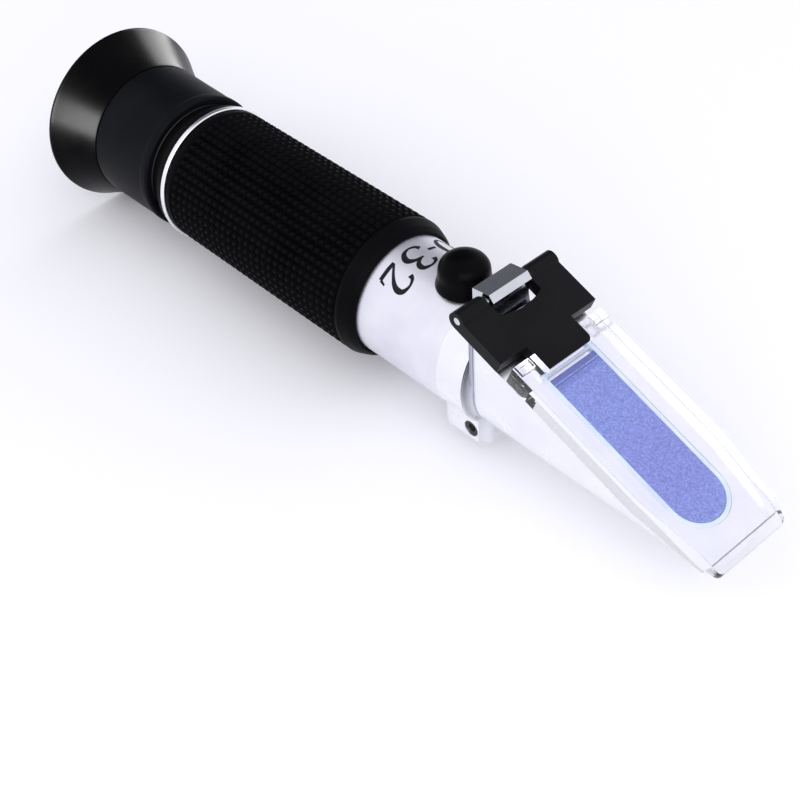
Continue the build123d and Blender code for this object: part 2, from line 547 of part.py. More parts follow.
def lug_screws():
    """Two screws from inside the head that hold the lug down."""
    head_top = LUG_SCREW_SEAT_Z - SEAT_GAP
    screws = []
    for y in (-LUG_SCREW_Y, LUG_SCREW_Y):
        shank = post(LUG_SCREW_X, y, head_top - 0.55, LUG_SCREW_TOP_Z, LUG_SCREW_R)
        screws.append(shank + post(LUG_SCREW_X, y, head_top - 1.25, head_top, LUG_SCREW_HEAD_R))
    return Compound(children=screws)


def hinge_pin():
    return cross_rod(PIN_AXIS.X, PIN_AXIS.Z, -(BLOCK_HALF - 0.1), BLOCK_HALF - 0.1, PIN_R)


def knuckle(side):
    """Rolled eye of the block, rounded over where it faces the lug."""
    inner, outer = side * SLOT_HALF, side * BLOCK_HALF
    eye = cross_rod(PIN_S, PIN_H, *sorted((inner, outer)), KNUCKLE_R)
    facing = [e for e in eye.edges().filter_by(GeomType.CIRCLE) if abs(e.center().Y - inner) < 0.01]
    return fillet(facing, KNUCKLE_ROUND)


def hinge_block():
    """Black T-shaped block: two rolled knuckles, two wings and a stem let into the plate."""
    wings = block(PIN_S, WING_S1, -BLOCK_HALF, BLOCK_HALF, BLOCK_UNDER_H, BLOCK_TOP_H)
    stem = block(WING_S1 - 1, STEM_S1, -STEM_HALF, STEM_HALF, BLOCK_UNDER_H, BLOCK_TOP_H)
    stem = fillet(stem.edges().filter_by(Axis.Z).sort_by(Axis.X)[-2:], 1.4)
    body = wings + stem
    for side in (-1, 1):
        body += knuckle(side)
    slot_back = Polyline((SLOT_S1, SLOT_HALF), (-FAR, SLOT_HALF), (-FAR, -SLOT_HALF),
                         (SLOT_S1, -SLOT_HALF))
    slot_front = ThreePointArc((SLOT_S1, -SLOT_HALF), (SLOT_S1 + SLOT_BOW, 0), (SLOT_S1, SLOT_HALF))
    body -= Pos(0, 0, -FAR / 2) * extrude(make_face([slot_back, slot_front]), FAR)
    body -= cross_rod(PIN_S, PIN_H, -FAR, FAR, PIN_R + RUN_GAP)
    return on_slope(body)


# ---- daylight plate ----------------------------------------------------------------------------
def plate_plan():
    left = [(s, half) for s, half in PLATE_OUTLINE]
    right = [(s, -half) for s, half in reversed(PLATE_OUTLINE)]
    return make_face(Polyline(*left, *right, close=True))


def daylight_plate():
    """Clear plate with a recess for the hinge stem, two ears and a bevelled end for the finger."""
    plan = plate_plan()
    plan = fillet(plan.vertices().sort_by(Axis.X)[-2:], 1.2)
    plate = Pos(0, 0, PLATE_UNDER_H) * extrude(plan, PLATE_TOP_H - PLATE_UNDER_H)
    for side in (-1, 1):
        ear = block(PLATE_S0, 1.4, *sorted((side * 7.4, side * 10.6)), 0, PLATE_TOP_H + 0.5)
        plate += fillet(ear.edges().filter_by(Axis.Y).group_by(Axis.Z)[-1], 0.4)
    bevel = Polyline((BEVEL_S0, PLATE_TOP_H), (FAR, PLATE_TOP_H), (FAR, PLATE_TOP_H - BEVEL_DROP),
                     (PLATE_END_S, PLATE_TOP_H - BEVEL_DROP), close=True)
    plate -= extrude(Plane.XZ * make_face(bevel), FAR, both=True)
    plate -= block(HOUSING_END_S + OPEN_GAP, FAR, -FAR, FAR, -FAR, TAB_UNDER_H)
    plate -= block(-FAR, STEM_S1 + SEAT_GAP, -STEM_HALF - SEAT_GAP, STEM_HALF + SEAT_GAP,
                   BLOCK_UNDER_H - SEAT_GAP, FAR)
    for s, y in PLATE_SCREWS:
        plate -= post(s, y, -FAR, FAR, PLATE_SCREW_R + SEAT_GAP)
        plate -= post(s, y, -FAR, PLATE_UNDER_H + 0.5, PLATE_SCREW_HEAD_R + SEAT_GAP)
    return on_slope(plate)


def plate_screws():
    """Two small screws from below that hold the plate under the hinge stem."""
    screws = []
    for s, y in PLATE_SCREWS:
        head = post(s, y, PLATE_UNDER_H + 0.05, PLATE_UNDER_H + 0.45, PLATE_SCREW_HEAD_R)
        shank = post(s, y, PLATE_UNDER_H + 0.3, -0.5, PLATE_SCREW_R)
        screws.append(on_slope(head + shank))
    return Compound(children=screws)


def hinge_block_drilled():
    """The block with the blind holes that take the plate's screws."""
    drilled = hinge_block()
    for s, y in PLATE_SCREWS:
        drilled -= on_slope(post(s, y, -FAR, -0.4, PLATE_SCREW_R + SEAT_GAP))
    return drilled


# ---- writing the pieces --------------------------------------------------------------------------
PIECES = {
    "eyecup": eyecup,
    "focus_ring": focus_ring,
    "lens_cell": lens_cell,
    "eye_lens": eye_lens,
    "lens_spacer": lens_spacer,
    "field_lens": field_lens,
    "lens_retainer": lens_retainer,
    "eyepiece_sleeve": eyepiece_sleeve,
    "guide_key": guide_key,
    "focus_o_ring": focus_o_ring,
    "trim_ring": trim_ring,
    "rubber_grip": rubber_grip,
    "body_tube": body_tube,
    "head_o_ring": head_o_ring,
    "reticle_holder": reticle_holder,
    "reticle": reticle,
    "reticle_ring": reticle_ring,
    "objective_carriage": objective_carriage,
    "bimetal_strip": bimetal_strip,
    "strip_screws": strip_screws,
    "objective_cell": objective_cell,
    "objective_lens": objective_lens,
    "calibration_bush": calibration_bush,
    "calibration_screw": calibration_screw,
    "calibration_cap": calibration_cap,
    "prism_head": prism_head,
    "main_prism": main_prism,
    "prism_seal": prism_seal,
    "head_set_screws": head_set_screws,
    "foot_screws": foot_screws,
    "hinge_lug": hinge_lug,
    "lug_screws": lug_screws,
    "hinge_pin": hinge_pin,
    "hinge_block": hinge_block_drilled,
    "daylight_plate": daylight_plate,
    "plate_screws": plate_screws,
}


def main():
    os.makedirs("parts", exist_ok=True)
    pieces = {name: make() for name, make in PIECES.items()}
    for name, x in BAFFLES.items():
        pieces[name] = baffle(x)
    for name, shape in pieces.items():
        export_step(shape, f"parts/{name}.step")
    box = Compound(children=list(pieces.values())).bounding_box()
    print(len(pieces), "pieces; overall", [round(v, 2) for v in (*box.min, *box.max)])
    print("hinge pin axis at x, z:", round(PIN_AXIS.X, 3), round(PIN_AXIS.Z, 3))


main()
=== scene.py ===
# %% [markdown]
# # Hand-held brewing refractometer
# A refractometer is a short telescope: an eyecup and focusing ring at one end, a rubber grip
# round an aluminium barrel, and a prism head with a hinged clear plate at the other. The measured
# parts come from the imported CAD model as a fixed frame. This notebook dresses them: it rounds
# their edges, makes the knurled grip, prints the range mark and gives every piece its finish.

# %% Load the frame
from math import cos, pi, radians, sin, tan, tau

import bmesh
import bpy
from mathutils import Matrix, Vector


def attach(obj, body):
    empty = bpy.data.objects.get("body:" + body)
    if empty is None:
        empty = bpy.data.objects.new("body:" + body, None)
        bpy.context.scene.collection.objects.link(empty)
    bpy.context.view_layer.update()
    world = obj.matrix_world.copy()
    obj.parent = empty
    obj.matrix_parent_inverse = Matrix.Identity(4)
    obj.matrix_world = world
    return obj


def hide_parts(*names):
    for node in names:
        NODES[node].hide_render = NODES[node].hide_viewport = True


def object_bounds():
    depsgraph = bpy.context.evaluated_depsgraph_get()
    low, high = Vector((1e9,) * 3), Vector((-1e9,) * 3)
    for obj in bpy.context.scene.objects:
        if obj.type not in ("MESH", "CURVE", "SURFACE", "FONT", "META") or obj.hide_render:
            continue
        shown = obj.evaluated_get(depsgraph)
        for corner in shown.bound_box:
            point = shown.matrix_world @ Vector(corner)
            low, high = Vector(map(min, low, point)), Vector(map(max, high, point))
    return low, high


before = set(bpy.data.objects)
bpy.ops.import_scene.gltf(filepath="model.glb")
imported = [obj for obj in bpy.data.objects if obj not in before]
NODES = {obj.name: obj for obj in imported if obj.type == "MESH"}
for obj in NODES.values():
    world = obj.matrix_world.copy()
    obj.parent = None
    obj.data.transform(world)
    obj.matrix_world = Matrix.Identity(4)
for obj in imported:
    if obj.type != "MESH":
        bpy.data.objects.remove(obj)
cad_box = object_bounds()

MM = 0.001

# %% [markdown]
# ## Small helpers
# Colours are picked as the hex values that a paint program shows, but shaders work with linear
# light, so one function converts them. A second function adds any shader or geometry node
# with its settings and its links in one line, which keeps the material cells readable.

# %% Colour and node helpers


def linear(hex_value):
    """An sRGB hex value such as #8C9BE0 as the linear RGBA that shaders take."""
    channels = [int(hex_value[i:i + 2], 16) / 255 for i in (1, 3, 5)]
    return [c / 12.92 if c <= 0.04045 else ((c + 0.055) / 1.055) ** 2.4 for c in channels] + [1.0]


def add_node(tree, kind, inputs=None, **settings):
    """Add a node: settings go to its properties, inputs to its sockets, as values or links."""
    node = tree.nodes.new(kind)
    for name, value in settings.items():
        setattr(node, name, value)
    for key, value in (inputs or {}).items():
        if isinstance(value, bpy.types.NodeSocket):
            tree.links.new(value, node.inputs[key])
        else:
            node.inputs[key].default_value = value
    return node


print("mid grey #808080 in linear light:", round(linear("#808080")[0], 3))

# %% [markdown]
# ## Camera, floor and light
# The camera looks down on the instrument from the prism end, past its left side, with a long
# lens, so the eyecup at the far end is only a little smaller. Its place is a point, and its
# turn is three unit vectors: what is right, up and back for it. They go into one matrix.

# %% Camera
EYE = Vector((0.2645, -0.1518, 0.1918))
RIGHT = Vector((0.6814, 0.7305, -0.0464))
UP = Vector((-0.4803, 0.4941, 0.7247))
BACK = Vector((0.5523, -0.4715, 0.6875))

camera_data = bpy.data.cameras.new("camera")
camera_data.sensor_width = 36.0     # mm
camera_data.lens = 72.0             # mm
camera_data.clip_start = 0.01
camera = bpy.data.objects.new("camera", camera_data)
turn = Matrix((RIGHT, UP, BACK)).transposed().to_4x4()
camera.matrix_world = Matrix.Translation(EYE) @ turn
bpy.context.scene.collection.objects.link(camera)
bpy.context.scene.camera = camera
bpy.context.scene.view_settings.view_transform = "Standard"
print("camera", round(EYE.length / MM), "mm from the eyecup's rim")

# %% [markdown]
# ## Floor
# The instrument lies on a plain pale sheet. The sheet is one large face just under the rim of the
# eyecup, which is the lowest point.

# %% Floor
FLOOR_Z = cad_box[0].z - 0.2 * MM
FLOOR_HALF = 3.0                    # metres


def mesh_object(name, vertices, faces):
    """A new object in the scene from points in metres and faces of point numbers."""
    mesh = bpy.data.meshes.new(name)
    mesh.from_pydata(vertices, [], faces)
    mesh.update()
    made = bpy.data.objects.new(name, mesh)
    bpy.context.scene.collection.objects.link(made)
    return made


floor = mesh_object("floor", [(x * FLOOR_HALF, y * FLOOR_HALF, FLOOR_Z)
                              for x, y in ((-1, -1), (1, -1), (1, 1), (-1, 1))], [(0, 1, 2, 3)])
paper = bpy.data.materials.new("pale backdrop paper")
paper.use_nodes = True
paper_shader = paper.node_tree.nodes["Principled BSDF"]
paper_shader.inputs["Base Color"].default_value = linear("#F7F7F9")
paper_shader.inputs["Roughness"].default_value = 0.9
floor.data.materials.append(paper)
print("floor at z", round(FLOOR_Z / MM, 2), "mm")

# %% [markdown]
# ## Light
# A large key box lights everything softly from the prism end. Glossy black rubber shows almost
# nothing but what it mirrors, so two strong soft boxes beside the eyecup are there for it alone:
# light linking limits them to one collection, and diffuse light leaves them out. The world lights
# the rest evenly, with one dimmer side, because bright metal needs something darker to mirror.

# %% Lights

def soft_box(name, place, aim, size, watts, only_for=None):
    """A square area light facing a point. One made for a collection only shows as a highlight there."""
    lamp = bpy.data.lights.new(name, "AREA")
    lamp.size = size
    lamp.energy = watts
    made = bpy.data.objects.new(name, lamp)
    direction = Vector(aim) - Vector(place)
    facing_it = direction.to_track_quat("-Z", "Y").to_matrix().to_4x4()
    made.matrix_world = Matrix.Translation(place) @ facing_it
    bpy.context.scene.collection.objects.link(made)
    made.light_linking.receiver_collection = only_for
    made.visible_diffuse = only_for is None
    return made


polished = bpy.data.collections.new("polished rubber")
soft_box("key box", (0.75, -0.55, 0.60), (0.08, 0, 0), 0.90, 4.2)
soft_box("left strip", (-0.16, -0.58, 0.11), (0, 0, 0), 0.42, 50.0, polished)
soft_box("far strip", (-0.18, 0.57, 0.16), (0, 0, 0), 0.42, 13.0, polished)

# %% World
DIM_SIDE = (-0.72, 0.46, 0.52)      # direction of the darker side of the studio
DIM_EDGE, DIM_CORE = 0.80, 0.97     # cosines from it where the dimming starts and is full
SKY_LEVEL, DIM_LEVEL = 1.1, 0.17

world = bpy.data.worlds.new("studio light")
world.use_nodes = True
sky = world.node_tree
toward = add_node(sky, "ShaderNodeTexCoord").outputs["Generated"]
facing = add_node(sky, "ShaderNodeVectorMath", {0: toward, 1: DIM_SIDE}, operation="DOT_PRODUCT")
dimness = add_node(sky, "ShaderNodeMapRange",
                   {"Value": facing.outputs["Value"], "From Min": DIM_EDGE, "From Max": DIM_CORE},
                   interpolation_type="SMOOTHSTEP")
light = add_node(sky, "ShaderNodeMix",
                 {"Factor": dimness.outputs[0], "A": [SKY_LEVEL * c for c in linear("#F8F8FF")],
                  "B": [DIM_LEVEL * c for c in linear("#F1F2FF")]}, data_type="RGBA")
sky.links.new(light.outputs["Result"], sky.nodes["Background"].inputs["Color"])
bpy.context.scene.world = world
print("world:", world.name)

# %% [markdown]
# ## Materials
# Nearly every finish here is two close colours with two faint patterns: a broad mottle that
# shifts the colour and the gloss together, as handling does, and a fine grain that bumps the
# surface. One function builds that, and each finish below sets its own colours, grain and gloss.
# Sizes are in millimetres. Real tool marks and blasting are finer than most of these grains,
# which are drawn coarser so that they show. A turned part gets its grain squashed along
# the axis, so that it becomes fine tool rings.

# %% The surface recipe


def surface(name, colours, rough, grain_mm, relief_mm, metallic=0.0, squash=(1, 1, 1),
            mottle_mm=9.0, **fixed):
    """Two colours and two roughness values mixed by a broad noise, over a bumped grain."""
    made = bpy.data.materials.new(name)
    made.use_nodes = True
    tree = made.node_tree
    tree.nodes.clear()
    place = add_node(tree, "ShaderNodeTexCoord").outputs["Object"]
    mottle = add_node(tree, "ShaderNodeTexNoise",
                      {"Vector": place, "Scale": 1 / (mottle_mm * MM), "Detail": 3.0, "Roughness": 0.55})
    squashed = add_node(tree, "ShaderNodeMapping", {"Vector": place, "Scale": squash})
    grain = add_node(tree, "ShaderNodeTexNoise",
                     {"Vector": squashed.outputs[0], "Scale": 1 / (grain_mm * MM), "Detail": 2.0})
    colour = add_node(tree, "ShaderNodeValToRGB", {"Fac": mottle.outputs["Fac"]})
    ramp = colour.color_ramp
    ramp.elements[0].position, ramp.elements[0].color = 0.32, linear(colours[0])
    ramp.elements[1].position, ramp.elements[1].color = 0.68, linear(colours[1])
    gloss = add_node(tree, "ShaderNodeMapRange",
                     {"Value": mottle.outputs["Fac"], "From Min": 0.3, "From Max": 0.7,
                      "To Min": rough[0], "To Max": rough[1]})
    bump = add_node(tree, "ShaderNodeBump",
                    {"Height": grain.outputs["Fac"], "Distance": relief_mm * MM, "Strength": 1.0})
    shader = add_node(tree, "ShaderNodeBsdfPrincipled",
                      {"Base Color": colour.outputs["Color"], "Roughness": gloss.outputs[0],
                       "Normal": bump.outputs["Normal"], "Metallic": metallic, **fixed})
    add_node(tree, "ShaderNodeOutputMaterial", {"Surface": shader.outputs[0]})
    return made


RINGS = (1.0, 0.02, 0.02)       # grain squashed into rings round the optical axis
print("recipe ready:", surface.__name__)

# %% [markdown]
# ## Black finishes
# The blacks differ mostly in how they were made. Polished rubber has small sharp highlights,
# moulded rubber broad dull ones, and anodised aluminium a faint blue cast. Most have a specular
# level below a real one, because this studio is bright all round and would turn them grey.

# %% Rubber, dyed aluminium, lacquer and ink
# moulded in a polished die: deep black with clear soft highlights
cup_rubber = surface("moulded rubber, polished", ("#020203", "#050506"), (0.24, 0.32), 0.5, 0.004,
                     **{"Specular IOR Level": 0.03})
# turned, dyed and sealed: an even blue-black with a satin sheen in rings
ring_black = surface("black anodised aluminium, satin", ("#090A0D", "#101115"), (0.42, 0.5), 0.25,
                     0.002, squash=RINGS, **{"Specular IOR Level": 0.05})
# turned and dyed deep black: darker than the ring, so the gap beside it reads as deep
sleeve_black = surface("black anodised aluminium, matt", ("#040405", "#070708"), (0.4, 0.5), 0.3,
                       0.002, squash=RINGS, **{"Specular IOR Level": 0.06})
# sprayed to swallow stray light: hardly any highlight
inner_black = surface("matt black lacquer", ("#0A0A0A", "#101010"), (0.75, 0.9), 0.2, 0.01)
# moulded in a blasted die: dull tips that only just stand out from the grooves
grip_rubber = surface("moulded rubber, matt", ("#020204", "#070709"), (0.38, 0.52), 0.25, 0.01,
                      **{"Specular IOR Level": 0.04})
# soft stretchy rubber: one small highlight on the dome
cap_rubber = surface("soft rubber", ("#020203", "#060608"), (0.24, 0.34), 0.4, 0.005,
                     **{"Specular IOR Level": 0.04})
# lacquer over brass: smooth black with a soft sheen along its rounded edges
hinge_black = surface("black lacquered brass", ("#0A0A0D", "#111114"), (0.26, 0.38), 0.3, 0.004,
                      **{"Specular IOR Level": 0.1})
# oxidised in hot salts: grey-black with a dull metal glint in the socket
screw_black = surface("black oxide steel", ("#101012", "#1A1A1C"), (0.35, 0.5), 0.15, 0.002)
# plain seal rubber: dull and slightly lighter
o_ring = surface("O-ring rubber", ("#0A0A0B", "#111112"), (0.45, 0.6), 0.3, 0.004)
# printed through a screen: flat blue-black that sits just proud of the metal
ink = surface("screen-printing ink, black", ("#0B0B12", "#14141D"), (0.4, 0.55), 0.12, 0.002,
              **{"Specular IOR Level": 0.2})
print("materials so far:", len(bpy.data.materials))

# %% [markdown]
# ## Bright finishes
# The bare metals are told apart by how rough they are. The barrel is blasted and anodised, the
# head is cast and tumbled, and the small fittings are ground, turned or plated. Base colour and
# roughness make most of the difference, and the direction of the grain makes the rest.

# %% Bare and plated metals, and cement
# cut with a sharp tool: a bright white line of light
trim_bright = surface("turned aluminium, bright", ("#E9EAEC", "#F7F7F8"), (0.16, 0.26), 0.12, 0.001,
                      metallic=1.0, squash=RINGS)
# blasted, then clear anodised: soft white with a hint of lavender
barrel_alloy = surface("satin anodised aluminium", ("#E2E2EC", "#EDEDF3"), (0.4, 0.48), 0.12, 0.0006,
                       metallic=1.0, squash=RINGS)
# cast, tumbled and clear anodised: smoother, so it mirrors nearby pieces softly
head_alloy = surface("fine cast aluminium, satin", ("#EEEEF5", "#F7F7FA"), (0.2, 0.3), 0.18, 0.0008,
                     metallic=1.0)
# plated and buffed: cool grey facets, each one flat tone
lug_nickel = surface("nickel plate", ("#C3C7CC", "#D6D9DC"), (0.12, 0.2), 0.2, 0.0008, metallic=1.0)
# ground round: a bright dot at the pin's end
pin_steel = surface("ground stainless steel", ("#C9CBCF", "#E2E4E7"), (0.18, 0.3), 0.1, 0.0008,
                    metallic=1.0, squash=(1, 0.05, 1))
# as machined: a plain light grey
screw_steel = surface("plain steel", ("#B8BABE", "#D2D4D7"), (0.25, 0.38), 0.15, 0.001, metallic=1.0)
# as turned: warm yellow with fine rings
brass = surface("turned brass", ("#C79A4B", "#DDB466"), (0.2, 0.32), 0.12, 0.001, metallic=1.0,
                squash=RINGS)
# rolled: dull warm grey with lines along the leaf
bimetal = surface("rolled two-metal strip", ("#A89C8A", "#C2B7A4"), (0.3, 0.45), 0.2, 0.001,
                  metallic=1.0, squash=(0.05, 1, 1))
# poured round the prism: a pale blue milky frame
seal_cement = surface("pale optical cement", ("#CDDCEC", "#E3EEF7"), (0.3, 0.45), 0.3, 0.004)
print("materials so far:", len(bpy.data.materials))

# %% [markdown]
# ## Painted shade in the cove
# Rings of painted shade darken the rounded step between the head's flange and its housing,
# most of it at the top beside the hinge block. A ramp along the axis holds the rings, a
# second range fades them with height, and the result multiplies the clean metal's colour, so it
# stays on the metal.

# %% Painted shade in the cove
def painted_shade_rings(material, start_mm, end_mm, shades, low_mm, high_mm, least):
    """Multiply a finish by rings of painted shade along x, full at height high_mm and faint at low_mm."""
    tree = material.node_tree
    shader = tree.nodes["Principled BSDF"]
    clean = shader.inputs["Base Color"].links[0].from_socket
    spot = add_node(tree, "ShaderNodeSeparateXYZ",
                    {"Vector": add_node(tree, "ShaderNodeTexCoord").outputs["Object"]})
    along = add_node(tree, "ShaderNodeMapRange",
                     {"Value": spot.outputs["X"], "From Min": start_mm * MM, "From Max": end_mm * MM})
    rings = add_node(tree, "ShaderNodeValToRGB", {"Fac": along.outputs[0]})
    stops = rings.color_ramp.elements
    for place_mm, shade in shades:
        stop = stops.new((place_mm - start_mm) / (end_mm - start_mm))
        stop.color = linear(shade)
    stops[0].color = stops[-1].color = linear("#FFFFFF")
    height = add_node(tree, "ShaderNodeMapRange",
                      {"Value": spot.outputs["Z"], "From Min": low_mm * MM, "From Max": high_mm * MM,
                       "To Min": least})
    mixed = add_node(tree, "ShaderNodeMix",
                     {"Factor": height.outputs[0], "A": clean, "B": rings.outputs["Color"]},
                     data_type="RGBA", blend_type="MULTIPLY")
    tree.links.new(mixed.outputs["Result"], shader.inputs["Base Color"])


# painted shade: dark rings in the cove, full at the top beside the hinge and fading to a share lower down
COVE_START, COVE_END = 117.0, 119.9             # mm along the axis
COVE_SHADE_RINGS = [(117.16, "#FFFFFF"), (117.26, "#26282F"), (117.6, "#45474F"), (118.2, "#9496A2"),
              (118.95, "#C4C6D0"), (119.22, "#6A6C77"), (119.42, "#E2E4EB")]
PAINTED_SHADE_LOW, PAINTED_SHADE_HIGH, PAINTED_SHADE_LEAST = -12.0, 7.0, 0.22     # mm of height, and share at the low end
painted_shade_rings(head_alloy, COVE_START, COVE_END, COVE_SHADE_RINGS, PAINTED_SHADE_LOW, PAINTED_SHADE_HIGH, PAINTED_SHADE_LEAST)
print("rings of residue:", len(COVE_SHADE_RINGS))

# %% [markdown]
# ## Clear pieces
# The plate is clear acrylic. Real glass shading makes an empty dark shadow under a clear
# sheet, so for shadow rays the material turns plainly transparent and the light passes through.
# The prism's face is ground glass with a blue filter behind it, so it is cloudy rather than
# clear: fine bright and dark specks on a blue that drifts towards lilac.

# %% Clear plate and lens glass

RIPPLE_MM = 6.25                # faint waves that polishing leaves


def clear(name, tint, rough, ior, shadow):
    """Glass or acrylic whose shadow is a pale tint."""
    made = bpy.data.materials.new(name)
    made.use_nodes = True
    tree = made.node_tree
    tree.nodes.clear()
    place = add_node(tree, "ShaderNodeTexCoord").outputs["Object"]
    ripple = add_node(tree, "ShaderNodeTexNoise",
                      {"Vector": place, "Scale": 1 / (RIPPLE_MM * MM), "Detail": 1.0})
    bump = add_node(tree, "ShaderNodeBump",
                    {"Height": ripple.outputs["Fac"], "Distance": 0.004 * MM, "Strength": 1.0})
    gloss = add_node(tree, "ShaderNodeMapRange",
                     {"Value": ripple.outputs["Fac"], "To Min": rough[0], "To Max": rough[1]})
    shader = add_node(tree, "ShaderNodeBsdfPrincipled",
                      {"Base Color": linear(tint), "Roughness": gloss.outputs[0], "IOR": ior,
                       "Transmission Weight": 1.0, "Normal": bump.outputs["Normal"]})
    passing = add_node(tree, "ShaderNodeBsdfTransparent", {"Color": linear(shadow)})
    ray = add_node(tree, "ShaderNodeLightPath")
    both = add_node(tree, "ShaderNodeMixShader",
                    {0: ray.outputs["Is Shadow Ray"], 1: shader.outputs[0], 2: passing.outputs[0]})
    add_node(tree, "ShaderNodeOutputMaterial", {"Surface": both.outputs[0]})
    return made


# cast and flame-polished: nearly colourless, with dark lines only at its edges
clear_acrylic = clear("clear acrylic", "#FDFDFF", (0.0, 0.03), 1.49, "#F4F5FF")
# ground, polished and coated: a faint green-blue, and a sharp mirror image
lens_glass = clear("coated crown glass", "#EDF6F7", (0.0, 0.01), 1.52, "#DFF0EE")
print("clear materials:", clear_acrylic.name, "and", lens_glass.name)

# %% Ground prism
GRIT_MM, GRIT_RELIEF_MM = 0.36, 0.02       # real ground glass is far finer, drawn coarser so it shows
WINDOW_END, WINDOW_CLEAR = 131.4, 133.8     # mm along the axis, the shaded strip at the near end
STRIP_SHADES = [(0.42, "#FFFFFF"), (0.52, "#8F8CB4"), (0.60, "#DCDCEC")]


def ground_prism():
    """Ground glass over a blue filter: specks on a drifting blue, with a strip at the near end."""
    made = bpy.data.materials.new("ground optical glass, blue")
    made.use_nodes = True
    tree = made.node_tree
    tree.nodes.clear()
    place = add_node(tree, "ShaderNodeTexCoord").outputs["Object"]
    drift = add_node(tree, "ShaderNodeTexNoise", {"Vector": place, "Scale": 55.0, "Detail": 1.0})
    grit = add_node(tree, "ShaderNodeTexNoise",
                    {"Vector": place, "Scale": 1 / (GRIT_MM * MM), "Detail": 2.0, "Roughness": 0.7})
    along = add_node(tree, "ShaderNodeSeparateXYZ", {"Vector": place}).outputs["X"]
    step = add_node(tree, "ShaderNodeMapRange",
                    {"Value": along, "From Min": WINDOW_END * MM, "From Max": WINDOW_CLEAR * MM})
    hue = add_node(tree, "ShaderNodeValToRGB", {"Fac": drift.outputs["Fac"]})
    speck = add_node(tree, "ShaderNodeValToRGB", {"Fac": grit.outputs["Fac"]})
    for ramp, low, high in ((hue, (0.38, "#8A9EE8"), (0.62, "#8A95E2")),
                            (speck, (0.36, "#B0B0C2"), (0.68, "#FFFFFF"))):
        for stop, (position, shade) in zip(ramp.color_ramp.elements, (low, high)):
            stop.position, stop.color = position, linear(shade)
    strip = add_node(tree, "ShaderNodeValToRGB", {"Fac": step.outputs[0]})
    strip.color_ramp.interpolation = "CONSTANT"
    strip.color_ramp.elements[0].color = linear("#A9A6C8")
    strip.color_ramp.elements[-1].color = linear("#FFFFFF")
    for position, shade in STRIP_SHADES:
        strip.color_ramp.elements.new(position).color = linear(shade)
    speckled = add_node(tree, "ShaderNodeMix",
                        {"Factor": 1.0, "A": hue.outputs["Color"], "B": speck.outputs["Color"]},
                        data_type="RGBA", blend_type="MULTIPLY")
    shaded = add_node(tree, "ShaderNodeMix",
                      {"Factor": 1.0, "A": speckled.outputs["Result"], "B": strip.outputs["Color"]},
                      data_type="RGBA", blend_type="MULTIPLY")
    bump = add_node(tree, "ShaderNodeBump",
                    {"Height": grit.outputs["Fac"], "Distance": GRIT_RELIEF_MM * MM, "Strength": 1.0})
    shader = add_node(tree, "ShaderNodeBsdfPrincipled",
                      {"Base Color": shaded.outputs["Result"], "Roughness": 0.45, "IOR": 1.52,
                       "Normal": bump.outputs["Normal"]})
    add_node(tree, "ShaderNodeOutputMaterial", {"Surface": shader.outputs[0]})
    return made


prism_glass = ground_prism()
print("materials:", len(bpy.data.materials))

# %% [markdown]
# ## Turned pieces
# The cup, the rings and the cap are turned about an axis, so each is an outline swept round in
# a circle. A real edge is never a sharp line: every corner of an outline is swapped for a small
# arc, and that thin curved edge is what catches the light.

# %% Outline helpers
STRAIGHT = radians(172)         # corners blunter than this are left alone
CORNER_SHARE = 0.45             # the most of an edge that one corner's arc may take up


def rounded(corners, radius, steps=4):
    """Swap each corner of a closed outline for an arc. A third number is a corner's own radius."""
    outline = []
    count = len(corners)
    for i, corner in enumerate(corners):
        here = Vector(corner[:2])
        before = Vector(corners[i - 1][:2]) - here
        after = Vector(corners[(i + 1) % count][:2]) - here
        own = corner[2] if len(corner) > 2 else radius
        bend = before.angle(after)
        if own <= 0 or bend > STRAIGHT:
            outline.append(here)
            continue
        cut = min(own / tan(bend / 2), before.length * CORNER_SHARE, after.length * CORNER_SHARE)
        start, end = here + before.normalized() * cut, here + after.normalized() * cut
        for k in range(steps + 1):
            t = k / steps
            outline.append(start * (1 - t) ** 2 + here * (2 * t * (1 - t)) + end * t ** 2)
    return [tuple(p) for p in outline]


def arc_through(a, b, c, steps=14):
    """Points of the arc from a through b to c, without its last point."""
    ax, ay, bx, by, cx, cy = *a, *b, *c
    d = 2 * (ax * (by - cy) + bx * (cy - ay) + cx * (ay - by))
    ux = ((ax * ax + ay * ay) * (by - cy) + (bx * bx + by * by) * (cy - ay)
          + (cx * cx + cy * cy) * (ay - by)) / d
    uy = ((ax * ax + ay * ay) * (cx - bx) + (bx * bx + by * by) * (ax - cx)
          + (cx * cx + cy * cy) * (bx - ax)) / d
    centre = Vector((ux, uy))
    first, last = Vector(a) - centre, Vector(c) - centre
    sweep = first.angle_signed(last)
    return [tuple(centre + Matrix.Rotation(-sweep * k / steps, 2) @ first) + (0,)
            for k in range(steps)]


print("a rounded square:", len(rounded([(0, 0), (1, 0), (1, 1), (0, 1)], 0.1)), "points")

# %% [markdown]
# Every new piece is cleaned the same way: doubled points are merged, faces are turned outwards
# and shading is smooth except at sharp edges. Then it gets its one finish, the body it moves
# with and the CAD nodes that it takes the place of.

# %% Cleaning and placing a piece
MERGE = 0.002 * MM              # points nearer than this are one point


def tidy_mesh(mesh, sharp=38.0):
    """Merge doubles, turn every face outwards and shade smooth except at sharp edges."""
    work = bmesh.new()
    work.from_mesh(mesh)
    bmesh.ops.remove_doubles(work, verts=work.verts, dist=MERGE)
    bmesh.ops.recalc_face_normals(work, faces=work.faces)
    work.to_mesh(mesh)
    work.free()
    mesh.shade_smooth()
    mesh.set_sharp_from_angle(angle=radians(sharp))


def place_piece(piece, material, body, *nodes, slot=None):
    """Give a piece its finish, its body and the CAD nodes it stands for. The slot is not used."""
    piece.data.materials.clear()
    piece.data.materials.append(material)
    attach(piece, body)
    if nodes:
        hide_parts(*nodes)
    return piece


print("points merge within", round(MERGE / MM, 4), "mm")

